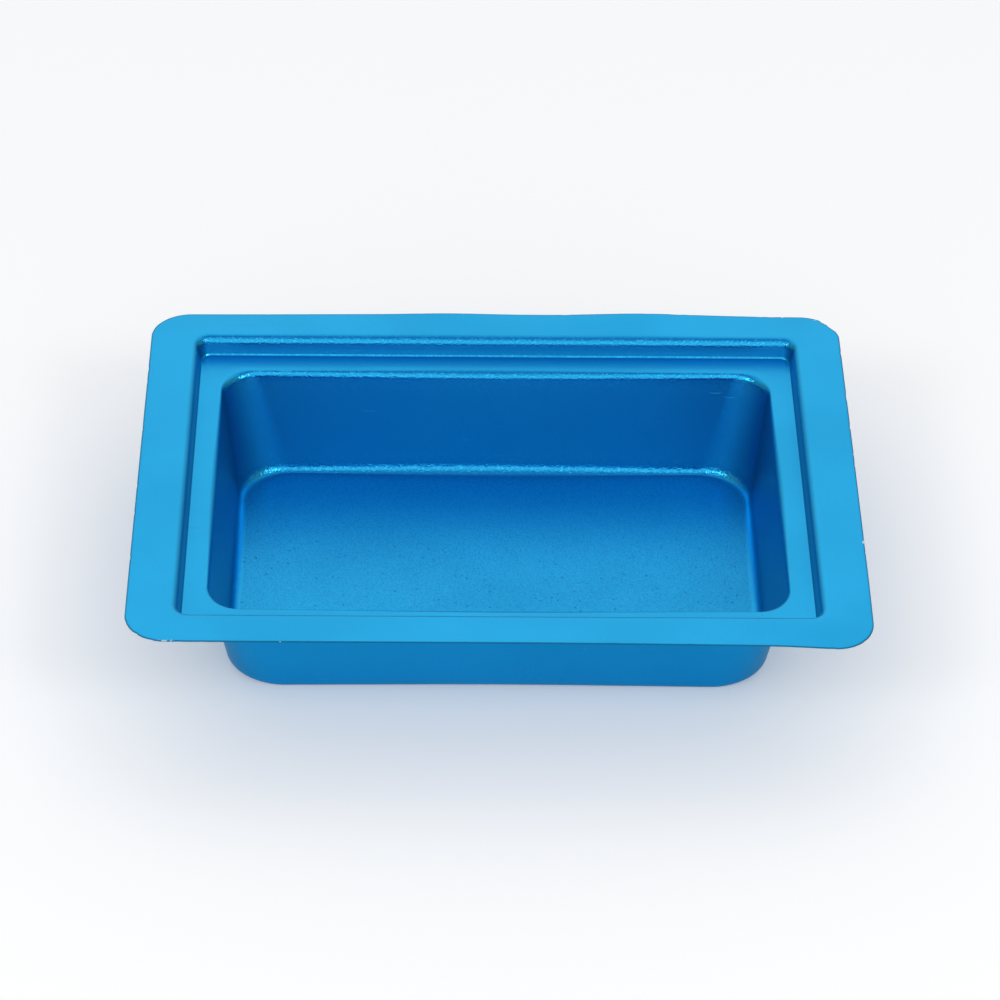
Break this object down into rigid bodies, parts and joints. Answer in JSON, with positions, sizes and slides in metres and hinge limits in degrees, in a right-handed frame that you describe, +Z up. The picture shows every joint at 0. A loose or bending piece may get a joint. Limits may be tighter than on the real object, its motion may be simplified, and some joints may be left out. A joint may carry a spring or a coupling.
{
  "type": "mud pan",
  "caption": "Shallow rectangular pan pressed from blue aluminium sheet, with a wide flat rim, a stepped ledge and a drafted well that holds filler or plaster.",
  "frame": {"origin": "middle of the underside of the floor, on the surface that the pan stands on", "axes": "+X along the pan's length, +Y across its width, +Z up through the open mouth"},
  "size_m": [0.3, 0.2324, 0.0562],
  "materials": {
    "blue_aluminium": "satin blue anodised sheet with a fine orange-peel grain, bare metal on the cut edge"
  },
  "bodies": {
    "root": {"pan": "blue_aluminium"}
  },
  "joints": []
}
